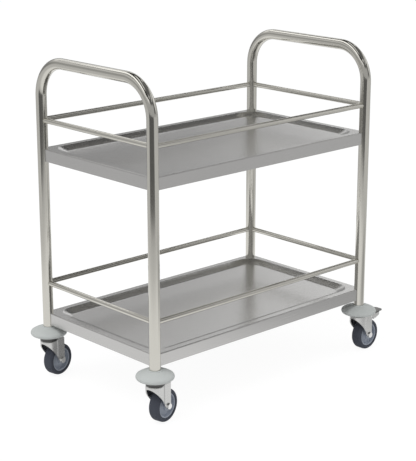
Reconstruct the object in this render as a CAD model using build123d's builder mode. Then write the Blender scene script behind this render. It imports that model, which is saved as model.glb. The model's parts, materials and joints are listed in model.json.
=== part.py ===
from build123d import *
from math import acos, cos, degrees, radians
import os

# A two-tier service trolley: two bent-tube end frames, two pressed trays, gallery rails and four castors.
# X runs along the length, from the left end to the right end, Y from front to back, and Z up from the floor.

# Frame and handles, in millimetres
leg_spacing_x = 663.0  # between leg axes along the length
leg_spacing_y = 380.0  # between leg axes across the depth
tube_diameter = 25.0
tube_wall = 1.2
handle_rise = 200.0  # rim of the upper tray to the axis of the handle bar
handle_bend_radius = 80.0  # to the tube axis

# Gallery rails
rail_diameter = 12.0
rail_wall = 1.0
upper_rail_rise = 65.0  # rim of the tray to the rail axis
lower_rail_rise = 72.0

# Trays
tier_spacing = 391.0  # rim to rim
lower_skirt_gap = 5.5  # bumper to the skirt of the lower tray
tray_overhang = 4.0  # skirt face beyond the leg axes
tray_sheet = 1.2
tray_skirt_height = 29.0
tray_edge_bend = 3.0  # outside radius between rim and skirt
tray_rim_width = 16.0
well_depth = 9.0
well_slope = 66.0  # degrees from upright
well_corner_radius = 42.0  # in plan, at the rim
well_lip_radius = 4.0  # between rim and well wall
well_floor_radius = 12.0  # between well wall and floor

# Wheels
wheel_diameter = 75.0
tyre_width = 26.0
tyre_depth = 9.0  # tread to hub rim
tyre_shoulder_radius = 6.0
hub_rim_depth = 3.5
hub_rim_inset = 1.5  # hub rim behind the face of the tyre
hub_web_thickness = 7.0
hub_web_draft = 4.0  # how much thicker the web is at the boss
hub_boss_diameter = 21.0
axle_diameter = 8.0
sleeve_wall = 2.0
axle_head_width = 13.0  # across flats
axle_head_height = 3.5
axle_head_round = 0.7
axle_nut_height = 6.5
axle_thread_end = 2.0  # thread standing out of the nut

# Forks
castor_trail = 27.0  # swivel axis to axle
fork_sheet = 2.5
wheel_side_gap = 0.8  # tyre to fork leg
hub_side_gap = 0.6  # hub boss to fork leg
fork_head_room = 16.0  # tyre to crown
fork_boss_radius = 7.5  # round end of the leg about the axle
fork_apron_height = 12.0
fork_shoulder_setback = 4.0  # front of the crown to the start of the slanted edge
fork_arch_radius = 6.0
fork_crease_radius = 3.0  # between the round crown and the flat leg
fork_bend_radius = 3.0
crown_radius = 21.0
crown_back = 26.0  # swivel axis to the back of the crown plate

# Swivel bearing and king bolt
ball_diameter = 5.0
ball_count = 12
ball_circle_radius = 12.5
race_depth = 1.5
cup_diameter = 42.0
cup_thickness = 8.0
cup_lip = 2.0
king_bolt_diameter = 10.0
king_head_width = 16.0  # across flats
king_head_height = 6.0
king_bolt_reach = 30.0  # above the foot of the leg
insert_length = 40.0

# Bumper discs
bumper_diameter = 85.0
bumper_height = 26.0
bumper_edge_height = 10.5  # underside to the widest ring
bumper_edge_radius = 6.0
bumper_edge_turn = 60.0  # degrees from the widest ring up to the dome
bumper_flat_diameter = 50.0  # flat of the underside
bumper_dome_rise = 1.4  # bulge of the dome over a straight cone
bumper_collar_wall = 3.0
bumper_collar_height = 2.0
bumper_socket_depth = 16.0  # leg inside the collar
bumper_cup_depth = 1.5  # swivel cup inside the bumper of a plain castor
bumper_crown_gap = 1.0  # crown to the bumper of a braked castor, which sits lower

# Brake pedals
pedal_sheet = 2.0
pedal_side_gap = 0.5  # pedal to fork leg
pedal_pin_diameter = 5.0
pedal_pin_setback = 2.5  # axle to pin, backwards
pedal_pin_drop = 6.0  # crown underside to pin
pedal_eye_radius = 5.0
pedal_reach = 54.0  # axle to the tip of the tread
pedal_tip_rise = 6.5  # pin to the top of the tread at its tip
pedal_tip_radius = 8.0
pedal_rivet_length = 1.0
shoe_angle = 54.0  # degrees above the level of the axle where the shoe meets the tyre
shoe_thickness = 3.0
shoe_width = 16.0
shoe_tyre_gap = 0.4  # with the pedal down
cheek_reach = 39.0  # axle to the end of the cheeks
cheek_drop = 4.0  # pin to the lower end of the cheeks
brake_travel = 8.0  # degrees

# How far each castor is swung from trailing straight to the right, in degrees
swing_front_left = 11.0
swing_back_left = 10.0
swing_front_right = 2.0
swing_back_right = 7.0

# Clearances
weld_gap = 0.15
running_clearance = 0.05
seat_clearance = 0.1
bearing_play = 0.4

# Stations derived from the sizes above
leg_x = leg_spacing_x / 2
leg_y = leg_spacing_y / 2
tube_radius = tube_diameter / 2
tube_bore_radius = tube_radius - tube_wall
rail_radius = rail_diameter / 2
joint_radius = tube_radius + weld_gap
wheel_radius = wheel_diameter / 2
hub_radius = wheel_radius - tyre_depth
axle_radius = axle_diameter / 2
sleeve_radius = axle_radius + sleeve_wall
fork_gap = tyre_width + 2 * wheel_side_gap
fork_width = fork_gap + 2 * fork_sheet
crown_underside = wheel_diameter + fork_head_room
crown_top = crown_underside + fork_sheet
ball_radius = ball_diameter / 2
ball_plane = crown_top + ball_radius - race_depth
cup_underside = crown_top + ball_diameter - 2 * race_depth
cup_top = cup_underside + cup_thickness
king_bolt_radius = king_bolt_diameter / 2
bumper_underside = cup_top - bumper_cup_depth
bumper_top = bumper_underside + bumper_height
leg_foot = bumper_top - bumper_socket_depth
lower_tray_height = bumper_top + lower_skirt_gap + tray_skirt_height
upper_tray_height = lower_tray_height + tier_spacing
lower_rail_height = lower_tray_height + lower_rail_rise
upper_rail_height = upper_tray_height + upper_rail_rise
handle_height = upper_tray_height + handle_rise
fork_back = castor_trail + fork_boss_radius
pedal_width = fork_gap - 2 * pedal_side_gap
pedal_pin_radius = pedal_pin_diameter / 2

leg_places = [(-leg_x, -leg_y), (-leg_x, leg_y), (leg_x, -leg_y), (leg_x, leg_y)]
castor_places = {
    "front_left": Location((-leg_x, -leg_y, 0), (0, 0, swing_front_left)),
    "back_left": Location((-leg_x, leg_y, 0), (0, 0, swing_back_left)),
    "front_right": Location((leg_x, -leg_y, 0), (0, 0, swing_front_right)),
    "back_right": Location((leg_x, leg_y, 0), (0, 0, swing_back_right)),
}
braked_castors = ("front_right", "back_right")

os.makedirs("parts", exist_ok=True)


# End frames: one tube each, bent into two legs and the handle bar between them
def end_path(end_x, foot):
    with BuildLine(Plane.YZ.offset(end_x)) as path:
        FilletPolyline(
            (-leg_y, foot),
            (-leg_y, handle_height),
            (leg_y, handle_height),
            (leg_y, foot),
            radius=handle_bend_radius,
        )
    return path.line


for end, end_x in (("left", -leg_x), ("right", leg_x)):
    axis_line = end_path(end_x, leg_foot)
    with BuildPart() as end_frame:
        with BuildSketch(Plane(axis_line @ 0, z_dir=axis_line % 0)):
            Circle(tube_radius)
            Circle(tube_bore_radius, mode=Mode.SUBTRACT)
        sweep(path=axis_line)
    end_frame.part.label = f"{end}_end_frame"
    export_step(end_frame.part, f"parts/{end}_end_frame.step")


# Gallery rails: thin tubes between the legs, coped to the round of the legs they are welded to
def gallery_rail(plane, half_length):
    with BuildPart() as rail:
        with BuildSketch(plane):
            Circle(rail_radius)
            Circle(rail_radius - rail_wall, mode=Mode.SUBTRACT)
        extrude(amount=half_length, both=True)
        with Locations(*leg_places):
            Cylinder(
                joint_radius,
                handle_height,
                align=(Align.CENTER, Align.CENTER, Align.MIN),
                mode=Mode.SUBTRACT,
            )
    return rail


for tier, rail_height in (("upper", upper_rail_height), ("lower", lower_rail_height)):
    for side, side_sign in (("front", -1), ("back", 1)):
        rail_plane = Plane((0, side_sign * leg_y, rail_height), z_dir=(1, 0, 0))
        rail = gallery_rail(rail_plane, leg_x)
        rail.part.label = f"{tier}_{side}_rail"
        export_step(rail.part, f"parts/{tier}_{side}_rail.step")
    for side, side_sign in (("left", -1), ("right", 1)):
        rail_plane = Plane((side_sign * leg_x, 0, rail_height), z_dir=(0, 1, 0))
        rail = gallery_rail(rail_plane, leg_y)
        rail.part.label = f"{tier}_{side}_rail"
        export_step(rail.part, f"parts/{tier}_{side}_rail.step")

# Trays: one sheet, with a rim, a well with sloping walls and a skirt, notched round the legs
tray_length = leg_spacing_x + 2 * tray_overhang
tray_depth = leg_spacing_y + 2 * tray_overhang
well_length = tray_length - 2 * tray_rim_width
well_width = tray_depth - 2 * tray_rim_width
well_wall_level = tray_sheet / cos(radians(well_slope))  # sheet of the sloping wall, measured level

for tier, rim_height in (("upper", upper_tray_height), ("lower", lower_tray_height)):
    rim_plane = Plane((0, 0, rim_height), x_dir=(1, 0, 0), z_dir=(0, 0, -1))
    with BuildPart() as hollow:
        with BuildSketch(rim_plane.offset(tray_sheet)):
            Rectangle(tray_length - 2 * tray_sheet, tray_depth - 2 * tray_sheet)
        extrude(amount=tray_skirt_height)
        fillet(hollow.faces().sort_by(Axis.Z)[-1].edges(), tray_edge_bend - tray_sheet)
        with BuildSketch(rim_plane):
            RectangleRounded(
                well_length + 2 * well_wall_level,
                well_width + 2 * well_wall_level,
                well_corner_radius + well_wall_level,
            )
        extrude(amount=well_depth + tray_sheet, taper=well_slope, mode=Mode.SUBTRACT)
        well_underside = hollow.faces().filter_by(Axis.Z).sort_by(Axis.Z)[1]
        fillet(well_underside.edges(), well_floor_radius + tray_sheet)
        rim_underside = hollow.faces().filter_by(Axis.Z).sort_by(Axis.Z)[-1]
        fillet(rim_underside.inner_wires()[0].edges(), well_lip_radius - tray_sheet)
    with BuildPart() as tray:
        with BuildSketch(rim_plane):
            Rectangle(tray_length, tray_depth)
        extrude(amount=tray_skirt_height)
        fillet(tray.faces().sort_by(Axis.Z)[-1].edges(), tray_edge_bend)
        with BuildSketch(rim_plane):
            RectangleRounded(well_length, well_width, well_corner_radius)
        extrude(amount=well_depth, taper=well_slope, mode=Mode.SUBTRACT)
        well_floor = tray.faces().filter_by(Axis.Z).sort_by(Axis.Z)[1]
        fillet(well_floor.edges(), well_floor_radius)
        rim = tray.faces().filter_by(Axis.Z).sort_by(Axis.Z)[-1]
        fillet(rim.inner_wires()[0].edges(), well_lip_radius)
        add(hollow.part, mode=Mode.SUBTRACT)
        with BuildSketch(rim_plane):
            with Locations(*[(x, -y) for x, y in leg_places]):
                Circle(joint_radius)
        extrude(amount=tray_skirt_height, mode=Mode.SUBTRACT)
    tray.part.label = f"{tier}_tray"
    export_step(tray.part, f"parts/{tier}_tray.step")

# Castor pieces, modelled once about the swivel axis with the wheel trailing along +X
axle_plane = Plane.XY.offset(wheel_radius)
axle_line = Axis((castor_trail, 0, wheel_radius), (0, 1, 0))

# Tyre: a ring with round shoulders
with BuildPart() as tyre:
    with BuildSketch(axle_plane) as tyre_section:
        with Locations((castor_trail + hub_radius + seat_clearance, 0)):
            Rectangle(
                tyre_depth - seat_clearance,
                tyre_width,
                align=(Align.MIN, Align.CENTER),
            )
        fillet(tyre_section.vertices().group_by(Axis.X)[-1], tyre_shoulder_radius)
    revolve(axis=axle_line)

# Hub: rim, drafted web and boss in one moulding
hub_boss_radius = hub_boss_diameter / 2
hub_bore_radius = sleeve_radius + running_clearance
hub_rim_half = tyre_width / 2 - hub_rim_inset
hub_boss_half = fork_gap / 2 - hub_side_gap
hub_rim_inner = hub_radius - hub_rim_depth
with BuildPart() as hub:
    with BuildSketch(axle_plane):
        with BuildLine():
            Polyline(
                (castor_trail + hub_bore_radius, 0),
                (castor_trail + hub_bore_radius, hub_boss_half),
                (castor_trail + hub_boss_radius, hub_boss_half),
                (castor_trail + hub_boss_radius, hub_web_thickness / 2 + hub_web_draft),
                (castor_trail + hub_rim_inner, hub_web_thickness / 2),
                (castor_trail + hub_rim_inner, hub_rim_half),
                (castor_trail + hub_radius, hub_rim_half),
                (castor_trail + hub_radius, 0),
                close=True,
            )
        make_face()
        mirror(about=Plane.XZ)
    revolve(axis=axle_line)

# Axle sleeve: the bush clamped between the fork legs
with BuildPart() as sleeve:
    with BuildSketch(Plane.XZ):
        with Locations((castor_trail, wheel_radius)):
            Circle(sleeve_radius)
            Circle(axle_radius + seat_clearance, mode=Mode.SUBTRACT)
    extrude(amount=fork_gap / 2 - seat_clearance, both=True)

# Axle bolt: head against the near fork leg, thread out through the nut on the far one
fork_face = Plane.XZ.offset(fork_width / 2)
far_face = Plane.XZ.offset(-fork_width / 2)
with BuildPart() as axle_bolt:
    with BuildSketch(fork_face):
        with Locations((castor_trail, wheel_radius)):
            RegularPolygon(axle_head_width / 2, 6, major_radius=False)
    extrude(amount=axle_head_height)
    with BuildSketch(fork_face):
        with Locations((castor_trail, wheel_radius)):
            Circle(axle_radius)
    extrude(amount=-(fork_width + axle_nut_height + axle_thread_end))
    fillet(axle_bolt.faces().sort_by(Axis.Y)[0].edges(), axle_head_round)

with BuildPart() as axle_nut:
    with BuildSketch(far_face):
        with Locations((castor_trail, wheel_radius)):
            RegularPolygon(axle_head_width / 2, 6, major_radius=False)
            Circle(axle_radius + seat_clearance, mode=Mode.SUBTRACT)
    extrude(amount=-axle_nut_height)

pedal_pin = Vector(castor_trail + pedal_pin_setback, crown_underside - pedal_pin_drop)


# Fork: a pressed shell with a round crown and two flat legs that taper to the axle
def fork_plan(inset):
    Circle(crown_radius - inset)
    Rectangle(
        fork_back + inset,
        fork_width - 2 * inset,
        align=(Align.MIN, Align.CENTER),
    )


def swivel_fork(pin_hole):
    boss = Vector(castor_trail, wheel_radius)
    shoulder = Vector(fork_shoulder_setback - crown_radius, crown_top - fork_apron_height)
    slant = shoulder - boss
    tangent_turn = degrees(acos(fork_boss_radius / slant.length))
    tangent_point = boss + slant.normalized().rotate(Axis.Z, tangent_turn) * fork_boss_radius
    with BuildPart() as fork:
        with BuildSketch():
            fork_plan(inset=0)
        extrude(amount=crown_top)
        creases = fork.edges().filter_by(Axis.Z).group_by(Axis.X)[0]
        fillet(creases, fork_crease_radius)
        with BuildSketch(Plane.XZ) as leg_outline:
            with BuildLine():
                Polyline(
                    (-crown_radius, crown_top),
                    (-crown_radius, shoulder.Y),
                    shoulder,
                    tangent_point,
                    boss,
                    (fork_back, wheel_radius),
                    (fork_back, crown_top),
                    close=True,
                )
            make_face()
            fillet(leg_outline.vertices().sort_by_distance(shoulder)[0], fork_arch_radius)
            with Locations(boss):
                Circle(fork_boss_radius)
        extrude(amount=crown_radius, both=True, mode=Mode.INTERSECT)
        fillet(fork.faces().sort_by(Axis.Z)[-1].edges().sort_by(Axis.X)[:-1], fork_bend_radius)
        with BuildSketch(Plane.XY.offset(crown_underside)):
            fork_plan(inset=fork_sheet)
        extrude(amount=-crown_underside, mode=Mode.SUBTRACT)
        with BuildSketch(Plane.XY.offset(crown_underside)):
            with Locations((crown_back, 0)):
                Rectangle(fork_back, fork_gap, align=(Align.MIN, Align.CENTER))
        extrude(amount=fork_sheet, mode=Mode.SUBTRACT)
        with Locations((0, 0, ball_plane)):
            Torus(ball_circle_radius, ball_radius + running_clearance, mode=Mode.SUBTRACT)
        with BuildSketch(Plane.XY.offset(crown_underside)):
            Circle(king_bolt_radius + running_clearance)
        extrude(amount=fork_sheet, mode=Mode.SUBTRACT)
        with BuildSketch(Plane.XZ):
            with Locations(boss):
                Circle(axle_radius + seat_clearance)
            if pin_hole:
                with Locations(pedal_pin):
                    Circle(pedal_pin_radius + seat_clearance)
        extrude(amount=crown_radius, both=True, mode=Mode.SUBTRACT)
    return fork


plain_fork = swivel_fork(pin_hole=False)
braked_fork = swivel_fork(pin_hole=True)

# Swivel cup: the fixed race over the balls, with a lip that shields them
cup_radius = cup_diameter / 2
with BuildPart() as cup:
    with BuildSketch(Plane.XZ):
        with BuildLine():
            Polyline(
                (king_bolt_radius + seat_clearance, cup_underside),
                (cup_radius - cup_lip, cup_underside),
                (cup_radius - cup_lip, crown_top + bearing_play),
                (cup_radius, crown_top + bearing_play),
                (cup_radius, cup_top),
                (king_bolt_radius + seat_clearance, cup_top),
                close=True,
            )
        make_face()
    revolve(axis=Axis.Z)
    with Locations((0, 0, ball_plane)):
        Torus(ball_circle_radius, ball_radius + running_clearance, mode=Mode.SUBTRACT)

with BuildPart() as balls:
    with Locations((0, 0, ball_plane)):
        with PolarLocations(ball_circle_radius, ball_count):
            Sphere(ball_radius)

# King bolt: head under the crown, shank up through cup and bumper into the leg insert
king_head_top = crown_underside - bearing_play
with BuildPart() as king_bolt:
    with BuildSketch(Plane.XY.offset(king_head_top)):
        RegularPolygon(king_head_width / 2, 6, major_radius=False)
    extrude(amount=-king_head_height)
    with BuildSketch(Plane.XY.offset(king_head_top)):
        Circle(king_bolt_radius)
    extrude(amount=leg_foot + king_bolt_reach - king_head_top)

with BuildPart() as leg_insert:
    with BuildSketch(Plane.XY.offset(leg_foot)):
        Circle(tube_bore_radius - seat_clearance)
        Circle(king_bolt_radius + seat_clearance, mode=Mode.SUBTRACT)
    extrude(amount=insert_length)

# Bumper: a domed disc with a rounded edge, a socket for the leg above and a recess for the swivel cup below
bumper_radius = bumper_diameter / 2
socket_radius = tube_radius + seat_clearance
collar_radius = socket_radius + bumper_collar_wall


def bumper_disc(underside):
    top = underside + bumper_height
    edge_centre = Vector(bumper_radius - bumper_edge_radius, underside + bumper_edge_height)
    edge_low = edge_centre - Vector(0, bumper_edge_radius)
    edge_out = edge_centre + Vector(bumper_edge_radius, 0)
    edge_high = edge_centre + Vector(bumper_edge_radius, 0).rotate(Axis.Z, bumper_edge_turn)
    collar_base = Vector(collar_radius, top - bumper_collar_height)
    dome_middle = (edge_high + collar_base) / 2 + Vector(0, bumper_dome_rise)
    with BuildPart() as bumper:
        with BuildSketch(Plane.XZ):
            with BuildLine():
                Polyline(
                    collar_base,
                    (collar_radius, top),
                    (socket_radius, top),
                    (socket_radius, leg_foot),
                    (king_bolt_radius + seat_clearance, leg_foot),
                    (king_bolt_radius + seat_clearance, cup_top),
                    (cup_radius + seat_clearance, cup_top),
                    (cup_radius + seat_clearance, underside),
                    (bumper_flat_diameter / 2, underside),
                    edge_low,
                )
                ThreePointArc(edge_low, edge_out, edge_high)
                ThreePointArc(edge_high, dome_middle, collar_base)
            make_face()
        revolve(axis=Axis.Z)
    return bumper


plain_bumper = bumper_disc(bumper_underside)
braked_bumper = bumper_disc(crown_top + bumper_crown_gap)

# Brake pedal: a lever on a pin between the fork legs, with cheeks, a tread and a shoe over the tyre
shoe_reach = wheel_radius + shoe_tyre_gap
shoe_down = Vector(castor_trail, wheel_radius) + Vector(shoe_reach, 0).rotate(Axis.Z, shoe_angle)
shoe_tip = pedal_pin + (shoe_down - pedal_pin).rotate(Axis.Z, brake_travel)
eye_top = pedal_pin + Vector(0, pedal_eye_radius)
tread_start = Vector(fork_back, eye_top.Y)
tread_tip = Vector(castor_trail + pedal_reach, pedal_pin.Y + pedal_tip_rise)
tread_down = Vector(0, -pedal_sheet)
cheek_end = Vector(castor_trail + cheek_reach, pedal_pin.Y - cheek_drop)
with BuildPart() as pedal:
    with BuildSketch(Plane.XZ):
        with BuildLine():
            Polyline(tread_start, tread_tip, tread_tip + tread_down, tread_start + tread_down, close=True)
        make_face()
    extrude(amount=pedal_width / 2, both=True)
    fillet(pedal.edges().filter_by(Axis.Z).group_by(Axis.X)[-1], pedal_tip_radius)
    with BuildSketch(Plane.XZ):
        with Locations(shoe_tip):
            Rectangle(shoe_thickness, tread_start.Y - shoe_tip.Y, align=(Align.MIN, Align.MIN))
    extrude(amount=shoe_width / 2, both=True)
    for cheek_side in (-1, 1):
        with BuildSketch(Plane.XZ.offset(cheek_side * (pedal_width - pedal_sheet) / 2)):
            with BuildLine():
                Polyline(
                    eye_top,
                    tread_start,
                    (cheek_end.X, tread_start.Y),
                    cheek_end,
                    (shoe_tip.X, pedal_pin.Y - 2 * pedal_eye_radius),
                    pedal_pin - Vector(0, pedal_eye_radius),
                    close=True,
                )
            make_face()
            with Locations(pedal_pin):
                Circle(pedal_eye_radius)
        extrude(amount=pedal_sheet / 2, both=True)
    with BuildSketch(Plane.XZ):
        with Locations(pedal_pin):
            Circle(pedal_pin_radius + running_clearance)
    extrude(amount=pedal_width / 2, both=True, mode=Mode.SUBTRACT)

with BuildPart() as pin:
    with BuildSketch(Plane.XZ):
        with Locations(pedal_pin):
            Circle(pedal_pin_radius)
    extrude(amount=fork_width / 2 + pedal_rivet_length, both=True)

# Each castor takes a copy of every piece to its own leg, swung to its own angle
for castor, place in castor_places.items():
    braked = castor in braked_castors
    castor_pieces = {
        "bumper": braked_bumper if braked else plain_bumper,
        "leg_insert": leg_insert,
        "king_bolt": king_bolt,
        "swivel_cup": cup,
        "swivel_balls": balls,
        "fork": braked_fork if braked else plain_fork,
        "axle_bolt": axle_bolt,
        "axle_nut": axle_nut,
        "axle_sleeve": sleeve,
        "hub": hub,
        "tyre": tyre,
    }
    if braked:
        castor_pieces["brake_pedal"] = pedal
        castor_pieces["brake_pin"] = pin
    for piece_name, piece in castor_pieces.items():
        with BuildPart() as placed:
            with Locations(place):
                add(piece.part)
        placed.part.label = f"{piece_name}_{castor}"
        export_step(placed.part, f"parts/{piece_name}_{castor}.step")
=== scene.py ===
import cmath
import json
import math

import bmesh
import bpy
from bpy.props import FloatProperty, FloatVectorProperty, PointerProperty
from mathutils import Matrix, Vector

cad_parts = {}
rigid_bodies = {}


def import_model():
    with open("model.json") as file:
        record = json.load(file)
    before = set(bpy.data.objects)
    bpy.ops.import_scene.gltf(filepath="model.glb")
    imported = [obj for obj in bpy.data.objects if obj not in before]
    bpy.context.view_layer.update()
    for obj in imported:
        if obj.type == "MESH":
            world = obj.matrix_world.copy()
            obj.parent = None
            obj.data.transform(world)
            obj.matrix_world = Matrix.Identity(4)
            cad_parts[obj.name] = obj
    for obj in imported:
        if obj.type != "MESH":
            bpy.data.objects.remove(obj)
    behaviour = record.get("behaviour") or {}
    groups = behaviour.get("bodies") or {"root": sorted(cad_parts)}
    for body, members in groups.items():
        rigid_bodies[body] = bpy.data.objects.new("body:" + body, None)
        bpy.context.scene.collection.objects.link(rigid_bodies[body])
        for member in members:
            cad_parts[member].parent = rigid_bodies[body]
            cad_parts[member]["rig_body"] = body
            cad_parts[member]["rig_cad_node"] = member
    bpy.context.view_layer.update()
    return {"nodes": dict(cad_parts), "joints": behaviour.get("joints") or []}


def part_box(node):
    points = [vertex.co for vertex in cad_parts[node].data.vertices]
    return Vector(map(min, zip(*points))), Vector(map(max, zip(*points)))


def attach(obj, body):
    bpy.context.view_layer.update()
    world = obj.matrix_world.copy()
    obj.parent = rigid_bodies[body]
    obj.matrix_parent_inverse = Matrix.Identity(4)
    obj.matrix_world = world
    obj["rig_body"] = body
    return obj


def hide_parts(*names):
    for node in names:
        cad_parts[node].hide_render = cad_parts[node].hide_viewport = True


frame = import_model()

bl_info = {
    "name": "Service Trolley",
    "version": (1, 0, 0),
    "blender": (4, 5, 0),
    "location": "3D View > Sidebar > Trolley",
    "description": "Models a two-tier steel service trolley round its packed CAD frame",
    "category": "Add Mesh",
}

MM = 0.001

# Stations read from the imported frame
JOINTS = {joint["name"]: joint for joint in frame["joints"]}
CORNERS = [name.removeprefix("swivel_") for name in JOINTS if name.startswith("swivel_")]
BRAKED = [corner for corner in CORNERS if f"brake_{corner}" in JOINTS]
PLAIN = [corner for corner in CORNERS if corner not in BRAKED]
LEG = Vector(JOINTS["swivel_back_right"]["pos_m"])
AXLE = Vector(JOINTS["roll_back_right"]["pos_m"])
PIN = Vector(JOINTS["brake_back_right"]["pos_m"])
TRAIL = (AXLE - LEG).to_2d().length
PIN_REACH = (PIN - LEG).to_2d().length
CROWN_TOP = LEG.z
WHEEL_RADIUS = AXLE.z
FRAME_LOW, FRAME_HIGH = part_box("left_end_frame")
TUBE_RADIUS = (FRAME_HIGH.x - FRAME_LOW.x) / 2
HANDLE_HEIGHT = FRAME_HIGH.z - TUBE_RADIUS
RAIL_LOW, RAIL_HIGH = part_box("upper_front_rail")
RAIL_RADIUS = (RAIL_HIGH.z - RAIL_LOW.z) / 2
TRAY_LOW, TRAY_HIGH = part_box("upper_tray")
CUP_LOW, CUP_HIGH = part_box("swivel_cup_front_left")

# How finely round shapes are divided
TUBE_SIDES = 48
RAIL_SIDES = 24
HOLE_SIDES = 32
TURN_STEPS = 72
BEND_STEPS = 20
TRAY_CORNER_STEPS = 10
CROWN_STEPS = 40
FORK_END_STEPS = 8
BUMPER_EDGE_STEPS = 14
BUMPER_DOME_STEPS = 12
TYRE_SHOULDER_STEPS = 9
FOLD_STEPS = 5
SMALL_ROUND_STEPS = 4
BROKEN_EDGE_STEPS = 2


def number(name, text, default, **kind):
    """A property that holds one number."""
    return FloatProperty(name=name, description=text, default=default, **kind)


def length(name, text, default):
    """A property that holds a length in metres."""
    return number(name, text, default, unit="LENGTH", precision=5)


def degrees(name, text, default):
    """A property that holds an angle, given here in degrees."""
    return number(name, text, math.radians(default), subtype="ANGLE")


def colour(name, text, default):
    """A property that holds a colour."""
    return FloatVectorProperty(
        name=name, description=text, default=default, subtype="COLOR", size=3, min=0, max=1
    )


class TrolleySizes(bpy.types.PropertyGroup):
    """Sizes of the tubes, the trays and the castors"""

    handle_bend_radius: length("Handle bend", "Radius of the handle bends to the tube axis", 80 * MM)
    tube_wall: length("Tube wall", "Wall of the end-frame tubes", 1.2 * MM)
    rail_wall: length("Rail wall", "Wall of the gallery rails", 1.0 * MM)
    weld_gap: length("Weld gap", "Gap that stands in for a weld", 0.15 * MM)
    seat_clearance: length("Seat clearance", "Gap round a piece that sits fast in another", 0.1 * MM)
    running_clearance: length("Running clearance", "Gap round a piece that turns in another", 0.05 * MM)
    tray_sheet: length("Tray sheet", "Thickness of the tray sheet", 1.2 * MM)
    tray_rim_width: length("Rim width", "Flat rim round the tray well", 16 * MM)
    tray_edge_bend: length("Rim bend", "Outside radius between rim and skirt", 3 * MM)
    well_depth: length("Well depth", "Rim down to the floor of the well", 9 * MM)
    well_corner_radius: length("Well corner", "Radius of the well's corners in plan", 42 * MM)
    well_lip_radius: length("Well lip", "Radius between rim and well wall", 4 * MM)
    well_floor_radius: length("Well floor edge", "Radius between well wall and floor", 12 * MM)
    well_slope: degrees("Well slope", "Lean of the well walls from upright", 66)
    tyre_width: length("Tyre width", "Width of the tyre", 26 * MM)
    tyre_depth: length("Tyre depth", "Tread down to the hub", 9 * MM)
    tyre_shoulder: length("Tyre shoulder", "Radius of the tyre's shoulders", 6 * MM)
    hub_rim_depth: length("Hub rim", "Radial depth of the hub's rim", 3.5 * MM)
    hub_rim_inset: length("Hub inset", "Hub rim behind the face of the tyre", 1.5 * MM)
    hub_web: length("Hub web", "Thickness of the hub's web at the rim", 7 * MM)
    hub_web_draft: length("Hub draft", "How much thicker the web is at the boss", 4 * MM)
    hub_boss_diameter: length("Hub boss", "Diameter of the hub's boss", 21 * MM)
    hub_bore_radius: length("Hub bore", "Radius of the hub's bore", 6.05 * MM)
    hub_boss_half: length("Hub boss half", "Half length of the hub's boss", 13.2 * MM)
    hub_edge_radius: length("Hub edge", "Round of the hub's edges, half that of its hollows", 0.8 * MM)
    fork_sheet: length("Fork sheet", "Thickness of the fork's sheet", 2.5 * MM)
    fork_width: length("Fork width", "Width of the fork over its legs", 32.6 * MM)
    fork_boss_radius: length("Fork end", "Round end of the fork leg about the axle", 7.5 * MM)
    fork_apron: length("Fork apron", "Height of the crown's front wall", 12 * MM)
    fork_shoulder: length("Fork shoulder", "Front of the crown to the slanted edge", 4 * MM)
    fork_bend_radius: length("Fork bend", "Bend between crown and walls", 3 * MM)
    crown_radius: length("Crown radius", "Radius of the round crown", 21 * MM)
    king_bolt_radius: length("King bolt", "Radius of the bolt that the castor swivels on", 5 * MM)
    pressed_edge: length("Pressed edge", "Broken edge of forks and pedals", 0.5 * MM)
    bumper_edge_height: length("Bumper edge", "Underside up to the widest ring", 10.5 * MM)
    bumper_edge_radius: length("Bumper round", "Radius of the bumper's edge", 6 * MM)
    bumper_flat_radius: length("Bumper flat", "Radius of the flat underside", 25 * MM)
    bumper_collar_wall: length("Collar wall", "Wall of the bumper's collar", 3 * MM)
    bumper_collar_height: length("Collar height", "Height of the bumper's collar", 2 * MM)
    bumper_collar_round: length("Collar round", "Radius of the collar's top edge", 0.8 * MM)
    bumper_dome_rise: length("Dome rise", "Bulge of the dome over a straight cone", 1.4 * MM)
    axle_radius: length("Axle radius", "Radius of the axle bolt", 4 * MM)
    axle_head_width: length("Axle head", "Hexagon across flats", 13 * MM)
    axle_head_height: length("Axle head height", "Height of the bolt's head", 3.5 * MM)
    axle_nut_height: length("Axle nut", "Height of the nut", 6.5 * MM)
    axle_thread_end: length("Thread end", "Thread standing out of the nut", 2 * MM)
    thread_pitch: length("Thread pitch", "Ridge to ridge along the thread", 1.25 * MM)
    thread_depth: length("Thread depth", "Depth of the thread's grooves", 0.6 * MM)
    pin_radius: length("Pedal pin", "Radius of the pin that the pedal turns on", 2.5 * MM)


class TrolleyFinishes(bpy.types.PropertyGroup):
    """Colours of the steel, plastic and rubber"""

    tube: colour("Tube steel", "Polished stainless tube", (0.63, 0.615, 0.565))
    sheet: colour("Sheet steel", "Brushed stainless sheet", (0.56, 0.555, 0.545))
    castor: colour("Castor steel", "Zinc-plated pressed steel", (0.62, 0.62, 0.61))
    # Colour of the brake pedals above a height just over their pin
    tread: colour("Pedal tread", "Dark tread of the brake pedals", (0.16, 0.16, 0.155))
    # Painted shade: the swivel cups are near black to stand for the shaded gap under the bumper
    race: colour("Swivel cup", "Dark oiled steel of the swivel cups", (0.1, 0.1, 0.098))
    bolt: colour("Bolt steel", "Bright plated bolts and nuts", (0.86, 0.86, 0.85))
    bumper: colour("Bumper", "Pale grey moulded plastic", (0.46, 0.49, 0.472))
    insert: colour("Leg insert", "Black moulded plastic", (0.02, 0.02, 0.02))
    hub: colour("Hub", "Blue-grey moulded plastic", (0.42, 0.475, 0.56))
    # Painted highlight: the hub's walls round the axle take this paler colour, as where the light
    # catches them
    hub_wall: colour("Hub walls", "Walls of the hub that stand round the axle", (0.68, 0.72, 0.78))
    tyre: colour("Tyre", "Dark slate rubber", (0.066, 0.095, 0.138))


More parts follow.
